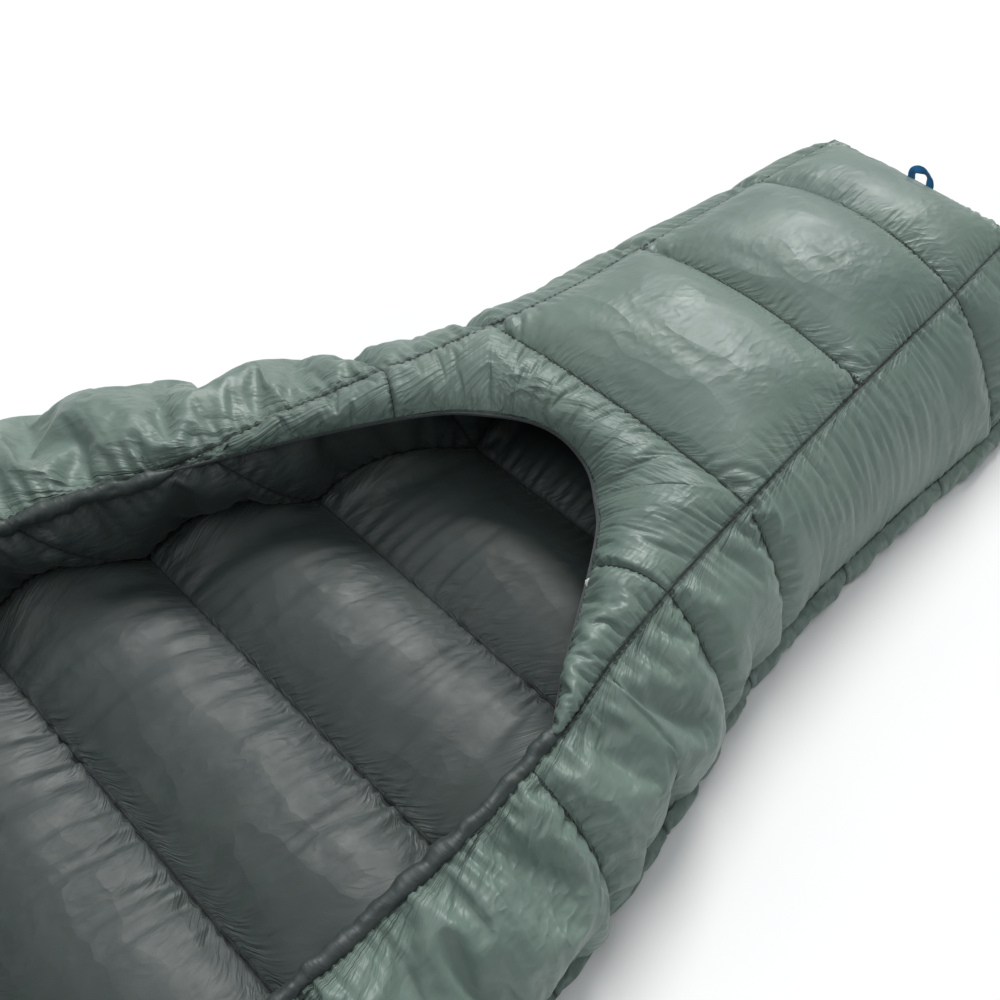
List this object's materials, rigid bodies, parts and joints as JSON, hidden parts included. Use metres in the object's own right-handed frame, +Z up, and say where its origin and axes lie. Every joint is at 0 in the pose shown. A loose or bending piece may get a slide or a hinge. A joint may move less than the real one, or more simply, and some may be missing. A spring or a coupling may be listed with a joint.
{
  "type": "camp quilt",
  "caption": "Padded camp quilt lying open, with a closed tapering footbox, an arched collar at its mouth, side flaps that fold out and a webbing hang loop.",
  "frame": {"origin": "middle of the underside", "axes": "+Y towards the foot end, +X towards the near side, +Z up from the floor it lies on"},
  "size_m": [0.835, 1.95, 0.2348],
  "materials": {
    "shell_nylon": "shiny thin ripstop nylon, sage grey",
    "lining_nylon": "satin nylon, slate grey",
    "down_fill": "loose clustered fill",
    "loop_webbing": "flat woven webbing, blue",
    "binding_tape": "matte woven tape",
    "pale_trim": "satin"
  },
  "bodies": {
    "quilt_body": {"floor_shell": "shell_nylon", "floor_fill_01": "down_fill", "floor_fill_02": "down_fill", "floor_fill_03": "down_fill", "floor_fill_04": "down_fill", "floor_fill_05": "down_fill", "floor_fill_06": "down_fill", "floor_fill_07": "down_fill", "floor_fill_08": "down_fill", "floor_fill_09": "down_fill", "floor_fill_10": "down_fill", "floor_fill_11": "down_fill", "floor_fill_12": "down_fill", "floor_lining": "lining_nylon", "neck_binding": "binding_tape", "near_leg_shell": "shell_nylon", "near_leg_fill_1": "down_fill", "near_leg_fill_2": "down_fill", "near_leg_fill_3": "down_fill", "near_leg_fill_4": "down_fill", "near_leg_lining": "lining_nylon", "far_leg_shell": "shell_nylon", "far_leg_fill_1": "down_fill", "far_leg_fill_2": "down_fill", "far_leg_fill_3": "down_fill", "far_leg_fill_4": "down_fill", "far_leg_lining": "lining_nylon", "top_shell": "shell_nylon", "top_fill_01": "down_fill", "top_fill_02": "down_fill", "top_fill_03": "down_fill", "top_lining": "lining_nylon", "collar_shell": "shell_nylon", "collar_near_horn_fill": "down_fill", "collar_arch_fill": "down_fill", "collar_far_horn_fill": "down_fill", "collar_lining": "lining_nylon", "rim_tab": "pale_trim", "foot_end_shell": "shell_nylon", "foot_end_fill": "down_fill", "foot_end_lining": "lining_nylon"},
    "near_flap": {"near_flap_shell": "shell_nylon", "near_flap_fill_1": "down_fill", "near_flap_fill_2": "down_fill", "near_flap_fill_3": "down_fill", "near_flap_fill_4": "down_fill", "near_flap_fill_5": "down_fill", "near_flap_fill_6": "down_fill", "near_flap_lining": "lining_nylon", "near_neck_snap": "pale_trim"},
    "far_flap": {"far_flap_shell": "shell_nylon", "far_flap_fill_1": "down_fill", "far_flap_fill_2": "down_fill", "far_flap_fill_3": "down_fill", "far_flap_fill_4": "down_fill", "far_flap_fill_5": "down_fill", "far_flap_fill_6": "down_fill", "far_flap_lining": "lining_nylon", "far_neck_snap": "pale_trim"},
    "loop": {"hang_loop": "loop_webbing"}
  },
  "joints": [
    {"name": "near_flap_fold", "type": "hinge", "parent": "quilt_body", "child": "near_flap", "pos_m": [0.4175, 0.001, 0.015], "axis": [0, 1, 0], "range_deg": [0, 125]},
    {"name": "far_flap_fold", "type": "hinge", "parent": "quilt_body", "child": "far_flap", "pos_m": [-0.4175, 0.001, 0.015], "axis": [0, -1, 0], "range_deg": [0, 140]},
    {"name": "loop_flop", "type": "hinge", "parent": "quilt_body", "child": "loop", "pos_m": [0.0725, 0.96, 0.2088], "axis": [1, 0, 0], "range_deg": [-70, 70]}
  ]
}
